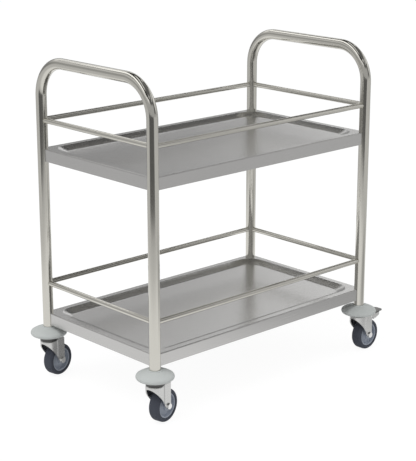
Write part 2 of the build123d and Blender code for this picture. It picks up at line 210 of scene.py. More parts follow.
class TrolleyStage(bpy.types.PropertyGroup):
    """Light, floor and camera"""

    key_power: number("Key light", "Power of the key light", 34, unit="POWER")
    fill_power: number("Fill light", "Power of the fill light", 9, unit="POWER")
    ambient: number("Ambient", "Level of the light from all round", 0.55, min=0)
    strip_level: number("Strip light", "Level of the strip light that the steel shows", 0.55, min=0)
    box_level: number("Light boxes", "Level of the light boxes that the steel shows", 0.68, min=0)
    left_lamp_level: number("Left lamp", "Level of the left lamp that the steel shows", 1.5, min=0)
    right_lamp_level: number("Right lamp", "Level of the right lamp that the steel shows", 1.8, min=0)
    camera_distance: length("Camera distance", "Camera to the point it looks at", 3.3359)
    camera_turn: degrees("Camera turn", "Turn of the view from straight ahead", 42.977)
    camera_pitch: degrees("Camera pitch", "How far the view looks down", 16.069)
    camera_aim: FloatVectorProperty(
        name="Camera aim",
        description="Point that the camera looks at",
        default=(1.38 * MM, 0, 333.83 * MM),
        subtype="TRANSLATION",
        size=3,
    )
    lens: number("Lens", "Focal length", 110.3, unit="CAMERA")
    floor: colour("Floor", "Pale floor", (0.8, 0.8, 0.8))
    floor_size: length("Floor size", "Width of the floor", 40)
    floor_drop: length("Floor drop", "Floor below the wheels", 0.5 * MM)


class Wire:
    """A socket of a node tree that takes part in Python expressions."""

    def __init__(self, tree, socket=None):
        self.tree = tree
        self.socket = socket

    def node(self, kind, settings=None, inputs=None, output=0):
        """Add a node, set it up, link or fill its inputs and return one of its outputs."""
        made = self.tree.nodes.new(kind)
        for name, value in (settings or {}).items():
            setattr(made, name, value)
        for key, value in (inputs or {}).items():
            if isinstance(value, Wire):
                self.tree.links.new(value.socket, made.inputs[key])
            else:
                made.inputs[key].default_value = value
        return Wire(self.tree, made.outputs[output])

    def maths(self, operation, *values):
        return self.node("ShaderNodeMath", {"operation": operation}, dict(enumerate(values)))

    def vector(self, operation, *values, output="Vector"):
        settings = {"operation": operation}
        return self.node("ShaderNodeVectorMath", settings, dict(enumerate(values)), output)

    def mix(self, first, second):
        """The first colour where this value is 0, the second where it is 1."""
        settings = {"data_type": "RGBA", "clamp_factor": True}
        return self.node("ShaderNodeMix", settings, {0: self, 6: first, 7: second}, output=2)

    def along(self, direction):
        """How far a vector reaches in a direction."""
        return self.vector("DOT_PRODUCT", self, direction, output="Value")

    def reach(self, place):
        """How far a point is from a place."""
        return self.vector("DISTANCE", self, place, output="Value")

    def part(self, axis):
        """One coordinate of a vector."""
        return self.node("ShaderNodeSeparateXYZ", None, {0: self}, output=axis)

    def size(self):
        """The value without its sign."""
        return self.maths("ABSOLUTE", self)

    def step(self, low, high):
        """Rises from 0 to 1 between two values."""
        inputs = {"Value": self, "From Min": low, "From Max": high}
        return self.node("ShaderNodeMapRange", {"interpolation_type": "SMOOTHSTEP"}, inputs)

    def band(self, rise, fall):
        """Rises from 0 to 1 over one pair of values and falls back over another."""
        return self.step(*rise) * (1 - self.step(*fall))

    def noise(self, scale, detail, rough):
        inputs = {"Vector": self, "Scale": scale, "Detail": detail, "Roughness": rough}
        return self.node("ShaderNodeTexNoise", None, inputs)

    def bump(self, strength, distance):
        """This value as the height of a relief on the surface."""
        inputs = {"Height": self, "Strength": strength, "Distance": distance}
        return self.node("ShaderNodeBump", None, inputs)

    def __add__(self, other):
        return self.maths("ADD", self, other)

    __radd__ = __add__

    def __sub__(self, other):
        return self.maths("SUBTRACT", self, other)

    def __rsub__(self, other):
        return self.maths("SUBTRACT", other, self)

    def __neg__(self):
        return 0 - self

    def __mul__(self, other):
        return self.maths("MULTIPLY", self, other)

    __rmul__ = __mul__


def opaque(shade):
    """A colour with full alpha."""
    return (*shade, 1)


def tinted(shade, factor):
    """A colour made darker or lighter, with full alpha."""
    return opaque(min(1.0, part * factor) for part in shade)


def varied(factor, shade, dark, light):
    """A colour that goes from a darker tint to a lighter one with a factor."""
    return factor.mix(tinted(shade, dark), tinted(shade, light))


def new_finish(name, **constants):
    """A material with a Principled shader, and a wire that gives the place on the piece."""
    material = bpy.data.materials.new(name)
    material.use_nodes = True
    shader = material.node_tree.nodes["Principled BSDF"]
    for socket, value in constants.items():
        shader.inputs[socket].default_value = value
    return material, Wire(material.node_tree).node("ShaderNodeTexCoord", output="Object")


def feed(material, base, rough, normal):
    """Link what changes over a surface to the material's shader."""
    tree = material.node_tree
    shader = tree.nodes["Principled BSDF"]
    for socket, wire in (("Base Color", base), ("Roughness", rough), ("Normal", normal)):
        tree.links.new(wire.socket, shader.inputs[socket])
    return material


def grain_along(point, direction, fine, coarse):
    """Streaks along one direction of the piece, fine across it and coarse along it, per metre."""
    stretch = [coarse if part else fine for part in direction]
    return point.vector("MULTIPLY", point, stretch).noise(scale=1.0, detail=3.0, rough=0.6)


def tube_finish(name, shade, direction, bend_start=None):
    """Polished tube: faint drawing lines along the tube, soft smudges and a warm tone."""
    material, point = new_finish(name, Metallic=1.0)
    grain = {"fine": 1700.0, "coarse": 9.0}
    lines = grain_along(point, direction, **grain)
    if bend_start is not None:
        turning = 50 * MM
        turned = point.part("Z").step(bend_start, bend_start + turning)
        lines = lines * (1 - turned) + grain_along(point, (0, 1, 0), **grain) * turned
    smudge = point.noise(scale=14.0, detail=3.0, rough=0.55)
    return feed(
        material,
        base=varied(0.6 * smudge + 0.4 * lines, shade, dark=0.94, light=1.06),
        rough=0.08 + 0.05 * lines + 0.05 * smudge,
        normal=lines.bump(strength=0.06, distance=0.1 * MM),
    )


def sheet_finish(name, shade):
    """Brushed sheet: lines along each face and a slightly uneven pressing."""
    material, point = new_finish(name, Metallic=1.0)
    facing = point.node("ShaderNodeNewGeometry", output="Normal").part("X")
    end_face = facing.size().step(0.6, 0.8)
    grain = {"fine": 1300.0, "coarse": 7.0}
    along = grain_along(point, (1, 0, 0), **grain)
    across = grain_along(point, (0, 1, 0), **grain)
    lines = along * (1 - end_face) + across * end_face
    cloud = point.noise(scale=6.0, detail=2.0, rough=0.5)
    return feed(
        material,
        base=varied(0.6 * lines + 0.4 * cloud, shade, dark=0.91, light=1.09),
        rough=0.17 + 0.1 * lines + 0.05 * cloud,
        normal=(0.6 * lines + cloud).bump(strength=0.1, distance=0.9 * MM),
    )


def plated_finish(name, shade, rough, tread=None):
    """Plated steel: a fine crystalline mottle over a soft gloss and, on a pedal, a darker colour above
    a height.
    """
    material, point = new_finish(name, Metallic=1.0)
    mottle = point.noise(scale=420.0, detail=3.0, rough=0.6)
    stain = point.noise(scale=60.0, detail=2.0, rough=0.5)
    tone = varied(0.5 * mottle + 0.5 * stain, shade, dark=0.88, light=1.1)
    # On a pedal, everything above a height just over the pin takes the darker colour
    if tread is not None:
        dark_top_low = PIN.z + 2 * MM
        tone = point.part("Z").step(dark_top_low, dark_top_low + MM).mix(tone, opaque(tread))
    return feed(
        material,
        base=tone,
        rough=rough + 0.08 * mottle + 0.08 * stain,
        normal=mottle.bump(strength=0.05, distance=0.2 * MM),
    )


def plastic_finish(name, shade, rough, grain_size, wall=None):
    """Moulded plastic: a fine grain, a faint change of tone and, on a hub, a painted highlight on the
    walls round the axle.
    """
    material, point = new_finish(name, Metallic=0.0, IOR=1.46)
    grain = point.noise(scale=1 / grain_size, detail=2.0, rough=0.6)
    cloud = point.noise(scale=40.0, detail=3.0, rough=0.55)
    tone = varied(0.4 * grain + 0.6 * cloud, shade, dark=0.93, light=1.07)
    # Painted highlight on the faces that do not face along the axle
    if wall is not None:
        facing = point.node("ShaderNodeTexCoord", output="Normal").part("Y")
        tone = facing.size().step(0.45, 0.75).mix(opaque(wall), tone)
    return feed(
        material,
        base=tone,
        rough=rough + 0.1 * grain,
        normal=grain.bump(strength=0.12, distance=0.15 * MM),
    )


def rubber_finish(name, shade):
    """Tyre rubber: a dull skin with dust and scuffs that lighten it in patches."""
    material, point = new_finish(name, Metallic=0.0, IOR=1.5)
    skin = point.noise(scale=1500.0, detail=2.0, rough=0.6)
    dust = point.noise(scale=70.0, detail=4.0, rough=0.65).step(0.45, 0.75)
    return feed(
        material,
        base=varied(0.35 * dust + 0.15 * skin, shade, dark=0.92, light=1.7),
        rough=0.5 + 0.12 * skin + 0.12 * dust,
        normal=skin.bump(strength=0.15, distance=0.15 * MM),
    )


def finish_named(name):
    """The material of that name, made the first time it is asked for."""
    found = bpy.data.materials.get(name)
    if found:
        return found
    shades = bpy.context.scene.trolley_finishes
    bend_start = HANDLE_HEIGHT - bpy.context.scene.trolley_sizes.handle_bend_radius
    dull = {"rough": 0.5, "grain_size": 0.7 * MM}
    glossy = {"rough": 0.38, "grain_size": 0.9 * MM}
    makers = {
        "frame_tube": lambda: tube_finish(name, shades.tube, (0, 0, 1), bend_start),
        "long_rail_tube": lambda: tube_finish(name, shades.tube, (1, 0, 0)),
        "end_rail_tube": lambda: tube_finish(name, shades.tube, (0, 1, 0)),
        "tray_sheet": lambda: sheet_finish(name, shades.sheet),
        "castor_plate": lambda: plated_finish(name, shades.castor, rough=0.2),
        "pedal_plate": lambda: plated_finish(name, shades.castor, rough=0.2, tread=shades.tread),
        # Painted shade of the gap under the bumper, on the swivel cups
        "race_plate": lambda: plated_finish(name, shades.race, rough=0.3),
        "bolt_plate": lambda: plated_finish(name, shades.bolt, rough=0.12),
        "bumper_plastic": lambda: plastic_finish(name, shades.bumper, **dull),
        "insert_plastic": lambda: plastic_finish(name, shades.insert, **dull),
        "hub_plastic": lambda: plastic_finish(name, shades.hub, **glossy, wall=shades.hub_wall),
        "tyre_rubber": lambda: rubber_finish(name, shades.tyre),
    }
    return makers[name]()


def add_piece(name, primitive, **placing):
    """Add a primitive, put its place into its mesh and open it for editing."""
    bpy.ops.object.select_all(action="DESELECT")
    primitive(**placing)
    piece = bpy.context.object
    piece.name = piece.data.name = name
    bpy.ops.object.transform_apply(location=True, rotation=True, scale=True)
    bpy.ops.object.mode_set(mode="EDIT")
    bpy.ops.mesh.select_all(action="SELECT")
    return piece


def pick(kind, test):
    """Select the vertices, edges or faces of the open mesh that pass a test."""
    bpy.ops.mesh.select_mode(type=kind)
    bpy.ops.mesh.select_all(action="DESELECT")
    data = bpy.context.object.data
    mesh = bmesh.from_edit_mesh(data)
    for part in {"VERT": mesh.verts, "EDGE": mesh.edges, "FACE": mesh.faces}[kind]:
        part.select_set(bool(test(part)))
    mesh.select_flush_mode()
    bmesh.update_edit_mesh(data)


def pick_all(kind):
    """Select all vertices, edges or faces of the open mesh."""
    bpy.ops.mesh.select_mode(type=kind)
    bpy.ops.mesh.select_all(action="SELECT")


def push(offset):
    """Extrude what is selected."""
    bpy.ops.mesh.extrude_region_move(TRANSFORM_OT_translate={"value": offset})


def middle(edge):
    """The point half way along an edge."""
    return (edge.verts[0].co + edge.verts[1].co) / 2


def close_mesh():
    """Merge doubles, turn the faces of the open mesh outwards and leave edit mode."""
    pick_all("VERT")
    bpy.ops.mesh.remove_doubles(threshold=0.002 * MM)
    bpy.ops.mesh.normals_make_consistent(inside=False)
    bpy.ops.object.mode_set(mode="OBJECT")


def select_only(piece):
    """Make a piece the only selected object and the active one."""
    bpy.ops.object.select_all(action="DESELECT")
    piece.select_set(True)
    bpy.context.view_layer.objects.active = piece


def apply_modifier(piece, kind, **settings):
    """Give a piece a modifier with these settings and apply it."""
    modifier = piece.modifiers.new(kind, kind)
    for name, value in settings.items():
        setattr(modifier, name, value)
    bpy.context.view_layer.objects.active = piece
    bpy.ops.object.modifier_apply(modifier=modifier.name)


def thicken(piece, wall, even=False):
    """Give a skin its wall, inwards from its faces and, for folded sheet, even over the folds."""
    apply_modifier(piece, "SOLIDIFY", thickness=wall, offset=-1, use_even_offset=even)


def cut_away(piece, cutter, operation="DIFFERENCE"):
    """Cut one mesh out of another, or join it on or keep the overlap, and remove the tool."""
    apply_modifier(piece, "BOOLEAN", operation=operation, object=cutter, solver="EXACT")
    bpy.data.objects.remove(cutter)


def smooth(piece, angle=32):
    """Shade a piece smooth over edges that turn by less than an angle in degrees."""
    select_only(piece)
    bpy.ops.object.shade_smooth_by_angle(angle=math.radians(angle))


def even_out(piece):
    """Let the large faces set the shading, so that flat sheet looks flat up to its bends."""
    apply_modifier(piece, "WEIGHTED_NORMAL", mode="FACE_AREA", weight=100, keep_sharp=True)


def finish_pressing(piece, width):
    """Break the sharp edges of pressed steel so that they catch the light, and shade it."""
    apply_modifier(
        piece,
        "BEVEL",
        width=width,
        segments=BROKEN_EDGE_STEPS,
        limit_method="ANGLE",
        angle_limit=math.radians(40),
        harden_normals=False,
    )
    smooth(piece, angle=35)
    even_out(piece)


def copy_piece(master, name, place):
    """Copy a piece with a mesh of its own and put its new place into that mesh."""
    copy = master.copy()
    copy.data = master.data.copy()
    copy.name = copy.data.name = name
    bpy.context.scene.collection.objects.link(copy)
    copy.data.transform(place)
    return copy


def paint(piece, finish):
    """Give a piece or a node one material."""
    piece.data.materials.clear()
    piece.data.materials.append(finish_named(finish))


def dress(piece, body, slot, finish, *nodes):
    """Give a piece its material and its body, and hide the CAD nodes it stands for."""
    paint(piece, finish)
    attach(piece, body)
    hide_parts(*nodes)


def dress_nodes(prefix, finish):
    """Give the CAD nodes of one kind, which keep their shape, their material."""
    for name, node in frame["nodes"].items():
        if name.startswith(prefix):
            paint(node, finish)


def castor_place(corner):
    """Where a castor piece modelled about the swivel axis goes."""
    leg = JOINTS[f"swivel_{corner}"]["pos_m"]
    axle = JOINTS[f"roll_{corner}"]["axis"]
    turn = Matrix.Rotation(math.atan2(-axle[0], axle[1]), 4, "Z")
    return Matrix.Translation((leg[0], leg[1], 0)) @ turn


def spread(master, prefix, body, slot, finish, corners):
    """Copy a castor piece to each corner and remove the first one."""
    for corner in corners:
        node = f"{prefix}_{corner}"
        copy = copy_piece(master, f"{node}_piece", castor_place(corner))
        dress(copy, body.format(corner), slot, finish, node)
    bpy.data.objects.remove(master)


def arc(centre, radius, start, end, steps):
    """Points on an arc in a section, from one angle in degrees to another."""
    x, y = centre
    angles = [math.radians(start + (end - start) * step / steps) for step in range(steps + 1)]
    return [(x + radius * math.cos(angle), y + radius * math.sin(angle)) for angle in angles]


def arc_through(first, second, third, steps):
    """Points on the arc through three points of a section, taken as complex numbers."""
    first, second, third = (complex(*point) for point in (first, second, third))
    ratio = (third - first) / (second - first)
    centre = first + (second - first) * (ratio - abs(ratio) ** 2) / (2j * ratio.imag)
    start = math.degrees(cmath.phase(first - centre))
    turn = math.degrees(cmath.phase((third - centre) / (first - centre)))
    return arc((centre.real, centre.imag), abs(first - centre), start, start + turn, steps)


def draw_outline(name, points, closed=True):
    """Draw a chain of edges by extruding one vertex from point to point."""
    points = [Vector(point) for point in points]
    piece = add_piece(name, bpy.ops.mesh.primitive_plane_add, size=MM)
    pick_all("VERT")
    bpy.ops.mesh.merge(type="CENTER")
    bpy.ops.transform.translate(value=points[0])
    for before, after in zip(points, points[1:]):
        bpy.ops.mesh.extrude_vertices_move(TRANSFORM_OT_translate={"value": after - before})
    if closed:
        pick("VERT", lambda vertex: len(vertex.link_edges) == 1)
        bpy.ops.mesh.edge_face_add()
    return piece


def on_axle(across, out=0):
    """A point at a distance across the castor from the middle of the axle and out from its line."""
    return (TRAIL + out, across, WHEEL_RADIUS)


def turn_section(name, section, axle=False):
    """Spin a closed section round the swivel axis, or round the axle."""
    if axle:
        points = [on_axle(across, radius) for radius, across in section]
        centre, axis = on_axle(0), (0, 1, 0)
    else:
        points = [(radius, 0, height) for radius, height in section]
        centre, axis = (0, 0, 0), (0, 0, 1)
    piece = draw_outline(name, points)
    bpy.ops.mesh.select_all(action="SELECT")
    bpy.ops.mesh.spin(steps=TURN_STEPS, angle=2 * math.pi, center=centre, axis=axis)
    close_mesh()
    return piece


def rod(name, radius, start, end, sides=HOLE_SIDES):
    """A plain bar from point to point, for cutting holes or as a blank."""
    start, end = Vector(start), Vector(end)
    piece = add_piece(
        name,
        bpy.ops.mesh.primitive_cylinder_add,
        vertices=sides,
        radius=radius,
        depth=(end - start).length,
        location=(start + end) / 2,
        rotation=(end - start).to_track_quat("Z", "Y").to_euler(),
    )
    bpy.ops.object.mode_set(mode="OBJECT")
    return piece


class TROLLEY_OT_end_frames(bpy.types.Operator):
    """Bend the two end frames from tube"""

    bl_idname = "trolley.end_frames"
    bl_label = "End frames"

    def execute(self, context):
        sizes = context.scene.trolley_sizes
        bend = sizes.handle_bend_radius
        straight = HANDLE_HEIGHT - bend - FRAME_LOW.z
        tube = add_piece(
            "left_end_tube",
            bpy.ops.mesh.primitive_circle_add,
            vertices=TUBE_SIDES,
            radius=TUBE_RADIUS,
            location=(-LEG.x, -LEG.y, FRAME_LOW.z),
        )
        push((0, 0, straight))
        for side in (-1, 1):
            bpy.ops.mesh.spin(
                steps=BEND_STEPS,
                angle=math.pi / 2,
                center=(-LEG.x, side * (LEG.y - bend), HANDLE_HEIGHT - bend),
                axis=(1, 0, 0),
            )
            if side < 0:
                push((0, 2 * (LEG.y - bend), 0))
        push((0, 0, -straight))
        close_mesh()
        thicken(tube, sizes.tube_wall)
        smooth(tube)
        other = copy_piece(tube, "right_end_tube", Matrix.Translation((2 * LEG.x, 0, 0)))
        dress(tube, "frame", "stainless_tube", "frame_tube", "left_end_frame")
        dress(other, "frame", "stainless_tube", "frame_tube", "right_end_frame")
        return {"FINISHED"}


class TROLLEY_OT_gallery_rails(bpy.types.Operator):
    """Cut the gallery rails and cope their ends to the legs"""

    bl_idname = "trolley.gallery_rails"
    bl_label = "Gallery rails"

    def rail(self, name, start, end, along):
        """One rail between two leg axes, with its ends shaped to the round of the legs."""
        sizes = bpy.context.scene.trolley_sizes
        across = 1 - along
        rail = add_piece(
            name,
            bpy.ops.mesh.primitive_circle_add,
            vertices=RAIL_SIDES,
            radius=RAIL_RADIUS,
            location=start,
            rotation=(0, math.pi / 2, 0) if along == 0 else (math.pi / 2, 0, 0),
        )
        push(end - start)
        close_mesh()
        thicken(rail, sizes.rail_wall)
        joint = TUBE_RADIUS + sizes.weld_gap
        centre = (start[along] + end[along]) / 2
        for vertex in rail.data.vertices:
            aside = vertex.co[across] - start[across]
            back = math.sqrt(joint**2 - aside**2)
            vertex.co[along] += -back if vertex.co[along] > centre else back
        smooth(rail)
        return rail

    def execute(self, context):
        for tier in ("upper", "lower"):
            low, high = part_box(f"{tier}_front_rail")
            height = (low.z + high.z) / 2
            start = Vector((-LEG.x, -LEG.y, height))
            front = self.rail(f"{tier}_front_rail_tube", start, Vector((LEG.x, -LEG.y, height)), 0)
            left = self.rail(f"{tier}_left_rail_tube", start, Vector((-LEG.x, LEG.y, height)), 1)
            back = copy_piece(front, f"{tier}_back_rail_tube", Matrix.Translation((0, 2 * LEG.y, 0)))
            right = copy_piece(left, f"{tier}_right_rail_tube", Matrix.Translation((2 * LEG.x, 0, 0)))
            for side, rail in (("front", front), ("back", back)):
                dress(rail, "frame", "stainless_tube", "long_rail_tube", f"{tier}_{side}_rail")
            for side, rail in (("left", left), ("right", right)):
                dress(rail, "frame", "stainless_tube", "end_rail_tube", f"{tier}_{side}_rail")
        return {"FINISHED"}


class TROLLEY_OT_trays(bpy.types.Operator):
    """Press the two trays from sheet and notch their corners round the legs"""

    bl_idname = "trolley.trays"
    bl_label = "Trays"

    def outline(self, size, radius):
        """Size the open plane and round its corners."""
        bpy.ops.transform.resize(value=(size.x, size.y, 1))
        bpy.ops.mesh.select_mode(type="VERT")
        bpy.ops.mesh.bevel(offset=radius, segments=TRAY_CORNER_STEPS, affect="VERTICES")

    def in_well(self, edge, well):
        """Whether an edge lies on the outline of the well or inside it."""
        point = middle(edge)
        return abs(point.x) < well.x / 2 + MM and abs(point.y) < well.y / 2 + MM

    def folded(self, edge, height):
        """Whether an edge lies level at a height and the sheet turns over it."""
        near = 0.01 * MM
        least_turn = math.radians(11.5)
        if any(abs(vertex.co.z - height) > near for vertex in edge.verts):
            return False
        faces = edge.link_faces
        return len(faces) == 2 and faces[0].normal.angle(faces[1].normal) > least_turn

    def press(self, name, outside, well, sizes):
        """The sheet with its rim, its well and its skirt, and with sharp folds."""
        place = (0, 0, TRAY_HIGH.z)
        tray = add_piece(name, bpy.ops.mesh.primitive_plane_add, size=1, location=place)
        self.outline(outside, sizes.tray_edge_bend)
        bpy.ops.mesh.select_all(action="DESELECT")
        bpy.ops.mesh.primitive_plane_add(size=1, location=place)
        self.outline(well, sizes.well_corner_radius)

        # The flat rim between the two outlines
        pick_all("FACE")
        bpy.ops.mesh.delete(type="ONLY_FACE")
        pick_all("EDGE")
        bpy.ops.mesh.bridge_edge_loops()

        # The well
        pick("EDGE", lambda edge: edge.is_boundary and self.in_well(edge, well))
        bpy.ops.mesh.edge_face_add()
        bpy.ops.mesh.inset(thickness=sizes.well_depth * math.tan(sizes.well_slope))
        bpy.ops.transform.translate(value=(0, 0, -sizes.well_depth))

        # The skirt
        pick("EDGE", lambda edge: edge.is_boundary)
        push((0, 0, TRAY_LOW.z - TRAY_HIGH.z))
        return tray

    def round_folds(self, well, sizes):
        """Round the folds of rim and skirt, of rim and well wall, and of well wall and floor."""
        rim = TRAY_HIGH.z
        tangent = math.tan((math.pi / 2 - sizes.well_slope) / 2)
        folds = (
            (rim, False, sizes.tray_edge_bend, FOLD_STEPS),
            (rim, True, sizes.well_lip_radius * tangent, SMALL_ROUND_STEPS),
            (rim - sizes.well_depth, True, sizes.well_floor_radius * tangent, FOLD_STEPS),
        )
        for height, inside, offset, steps in folds:
            pick("EDGE", lambda edge: self.folded(edge, height) and self.in_well(edge, well) == inside)
            bpy.ops.mesh.bevel(offset=offset, segments=steps, affect="EDGES")
        close_mesh()

    def notch(self, tray, sizes):
        """Cut the corners away round the four legs."""
        past = 10 * MM
        low, high = TRAY_LOW.z - past, TRAY_HIGH.z + past
        radius = TUBE_RADIUS + sizes.weld_gap
        for x in (-LEG.x, LEG.x):
            for y in (-LEG.y, LEG.y):
                cut_away(tray, rod("leg_notch", radius, (x, y, low), (x, y, high), TUBE_SIDES))

    def execute(self, context):
        sizes = context.scene.trolley_sizes
        outside = (TRAY_HIGH - TRAY_LOW).to_2d()
        well = outside - Vector((2, 2)) * sizes.tray_rim_width
        tray = self.press("upper_tray_sheet", outside, well, sizes)
        self.round_folds(well, sizes)
        thicken(tray, sizes.tray_sheet, even=True)
        self.notch(tray, sizes)
        smooth(tray)
        even_out(tray)
        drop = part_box("lower_tray")[1].z - TRAY_HIGH.z
        lower = copy_piece(tray, "lower_tray_sheet", Matrix.Translation((0, 0, drop)))
        dress(tray, "frame", "stainless_sheet", "tray_sheet", "upper_tray")
        dress(lower, "frame", "stainless_sheet", "tray_sheet", "lower_tray")
        return {"FINISHED"}


class TROLLEY_OT_bumpers(bpy.types.Operator):
    """Turn the bumper discs"""

    bl_idname = "trolley.bumpers"
    bl_label = "Bumpers"

    def bumper(self, low, high, sizes):
        """A domed disc with a socket for the leg above and a recess for the swivel cup below."""
        base, top = low.z, high.z
        radius = (high.x - low.x) / 2
        fit = sizes.seat_clearance
        socket = TUBE_RADIUS + fit
        recess = (CUP_HIGH.x - CUP_LOW.x) / 2 + fit
        bore = sizes.king_bolt_radius + fit
        collar = socket + sizes.bumper_collar_wall
        collar_round = sizes.bumper_collar_round
        collar_foot = (collar, top - sizes.bumper_collar_height)
        edge_round = sizes.bumper_edge_radius
        edge_centre = (radius - edge_round, base + sizes.bumper_edge_height)
        edge = arc(edge_centre, edge_round, -90, 60, BUMPER_EDGE_STEPS)
        edge_end = edge[-1]
        half_way = (
            (edge_end[0] + collar_foot[0]) / 2,
            (edge_end[1] + collar_foot[1]) / 2 + sizes.bumper_dome_rise,
        )
        section = [
            *edge,
            *arc_through(edge_end, half_way, collar_foot, BUMPER_DOME_STEPS)[1:],
            *arc((collar - collar_round, top - collar_round), collar_round, 0, 90, SMALL_ROUND_STEPS),
            (socket, top),
            (socket, FRAME_LOW.z),
            (bore, FRAME_LOW.z),
            (bore, CUP_HIGH.z),
            (recess, CUP_HIGH.z),
            (recess, base),
            (sizes.bumper_flat_radius, base),
        ]
        bumper = turn_section("bumper", section)
        smooth(bumper, angle=40)
        return bumper

    def execute(self, context):
        sizes = context.scene.trolley_sizes
        for corners in (PLAIN, BRAKED):
            bumper = self.bumper(*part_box(f"bumper_{corners[0]}"), sizes)
            spread(bumper, "bumper", "frame", "bumper_plastic", "bumper_plastic", corners)
        return {"FINISHED"}


class TROLLEY_OT_swivels(bpy.types.Operator):
    """Finish the swivel bearings, king bolts and leg inserts"""

    bl_idname = "trolley.swivels"
    bl_label = "Swivels"

    def execute(self, context):
        # Painted shade: the swivel cups are made near black to stand for the shaded gap under the
        # bumper
        dress_nodes("swivel_cup", "race_plate")
        dress_nodes("swivel_balls", "bolt_plate")
        dress_nodes("king_bolt", "bolt_plate")
        dress_nodes("leg_insert", "insert_plastic")
        return {"FINISHED"}


class TROLLEY_OT_forks(bpy.types.Operator):
    """Press the castor forks from sheet"""

    bl_idname = "trolley.forks"
    bl_label = "Forks"

    def walls(self, name, sizes):
        """A round front and two straight legs, cut to a slanted edge with round ends."""
        crown = sizes.crown_radius
        half = sizes.fork_width / 2
        boss = sizes.fork_boss_radius
        back = TRAIL + boss
        lowest = WHEEL_RADIUS - boss
        near = 0.05 * MM
        end_share = 0.8

        # Outline in plan, drawn out downwards into the walls
        start = math.degrees(math.atan2(half, math.sqrt(crown**2 - half**2)))
        front = arc((0, 0), crown, start, 360 - start, CROWN_STEPS)
        plan = [(back, half), *front, (back, -half)]
        fork = draw_outline(name, [(x, y, CROWN_TOP) for x, y in plan], closed=False)
        bpy.ops.mesh.select_all(action="SELECT")
        push((0, 0, lowest - CROWN_TOP))

        # Slanted edge, from the shoulder of the crown to the round end about the axle
        shoulder = Vector((sizes.fork_shoulder - crown, 0, CROWN_TOP - sizes.fork_apron))
        slant = Vector(on_axle(0)) - shoulder
        lean = math.atan2(-slant.z, slant.x) + math.asin(boss / slant.length)
        below = Vector((-math.sin(lean), 0, -math.cos(lean)))
        bpy.ops.mesh.select_all(action="SELECT")
        bpy.ops.mesh.bisect(plane_co=shoulder, plane_no=below, clear_outer=True)
        pick("VERT", lambda vertex: abs(vertex.co.z - lowest) < near)
        bpy.ops.mesh.bevel(offset=boss * end_share, segments=FORK_END_STEPS, affect="VERTICES")
        return fork

    def fork(self, name, sizes):
        """The walls with a crown plate over them, bent from one sheet and open behind."""
        near = 0.05 * MM
        fork = self.walls(name, sizes)
        pick("EDGE", lambda edge: all(abs(vertex.co.z - CROWN_TOP) < near for vertex in edge.verts))
        bpy.ops.mesh.edge_face_add()
        pick("EDGE", lambda edge: abs(middle(edge).z - CROWN_TOP) < near and not edge.is_boundary)
        bpy.ops.mesh.bevel(offset=sizes.fork_bend_radius, segments=SMALL_ROUND_STEPS, affect="EDGES")
        close_mesh()
        thicken(fork, sizes.fork_sheet, even=True)
        return fork

    def execute(self, context):
        sizes = context.scene.trolley_sizes
        reach = sizes.fork_width
        king = (0, 0, CROWN_TOP - reach), (0, 0, CROWN_TOP + reach)
        axle = on_axle(-reach), on_axle(reach)
        pin = (PIN_REACH, -reach, PIN.z), (PIN_REACH, reach, PIN.z)
        for corners in (PLAIN, BRAKED):
            fork = self.fork("fork", sizes)
            cut_away(fork, rod("king_hole", sizes.king_bolt_radius + sizes.running_clearance, *king))
            cut_away(fork, rod("axle_hole", sizes.axle_radius + sizes.seat_clearance, *axle))
            if corners == BRAKED:
                cut_away(fork, rod("pin_hole", sizes.pin_radius + sizes.seat_clearance, *pin))
            finish_pressing(fork, sizes.pressed_edge)
            spread(fork, "fork", "castor_{}", "castor_steel", "castor_plate", corners)
        return {"FINISHED"}


class TROLLEY_OT_axles(bpy.types.Operator):
    """Turn the axle bolts and nuts"""

    bl_idname = "trolley.axles"
    bl_label = "Axles"

    def hexagon(self, name, near, far, sizes):
        """A six-sided head with its corners turned off, less at the inner face than at the outer."""
        width = sizes.axle_head_width
        block = rod(name, width / math.sqrt(3), on_axle(near), on_axle(far), sides=6)
        past_corners = 0.585 * width
        inner_face = 0.56 * width
        outer_face = 0.475 * width
        full_from = near + 0.25 * (far - near)
        full_to = near + 0.68 * (far - near)
        turning = [
            (0, near),
            (inner_face, near),
            (past_corners, full_from),
            (past_corners, full_to),
            (outer_face, far),
            (0, far),
        ]
        cut_away(block, turn_section("corner_turning", turning, axle=True), "INTERSECT")
        return block

    def bolt(self, face, end, sizes):
        """A threaded shank from inside its head to beyond the nut, joined to the head."""
        radius = sizes.axle_radius
        pitch = sizes.thread_pitch
        groove = radius - sizes.thread_depth
        inside_head = -face - MM
        thread = []
        station = face - 2 * pitch
        while station < end - pitch:
            thread += [(radius, station), (groove, station + pitch / 2)]
            station += pitch
        shank = [(0, inside_head), (radius, inside_head), *thread, (groove, end), (0, end)]
        bolt = turn_section("axle_bolt", shank, axle=True)
        head = self.hexagon("axle_head", -face, -face - sizes.axle_head_height, sizes)
        cut_away(bolt, head, "UNION")
        smooth(bolt, angle=30)
        return bolt

    def nut(self, face, end, sizes):
        """A hexagon with a plain bore for the bolt."""
        nut = self.hexagon("axle_nut", face, face + sizes.axle_nut_height, sizes)
        bore = sizes.axle_radius + sizes.seat_clearance
        cut_away(nut, rod("nut_bore", bore, on_axle(0), on_axle(2 * end)))
        smooth(nut, angle=30)
        return nut

    def execute(self, context):
        sizes = context.scene.trolley_sizes
        face = sizes.fork_width / 2
        end = face + sizes.axle_nut_height + sizes.axle_thread_end
        for prefix, make in (("axle_bolt", self.bolt), ("axle_nut", self.nut)):
            spread(make(face, end, sizes), prefix, "castor_{}", "bolt_steel", "bolt_plate", CORNERS)
        dress_nodes("axle_sleeve", "bolt_plate")
        return {"FINISHED"}


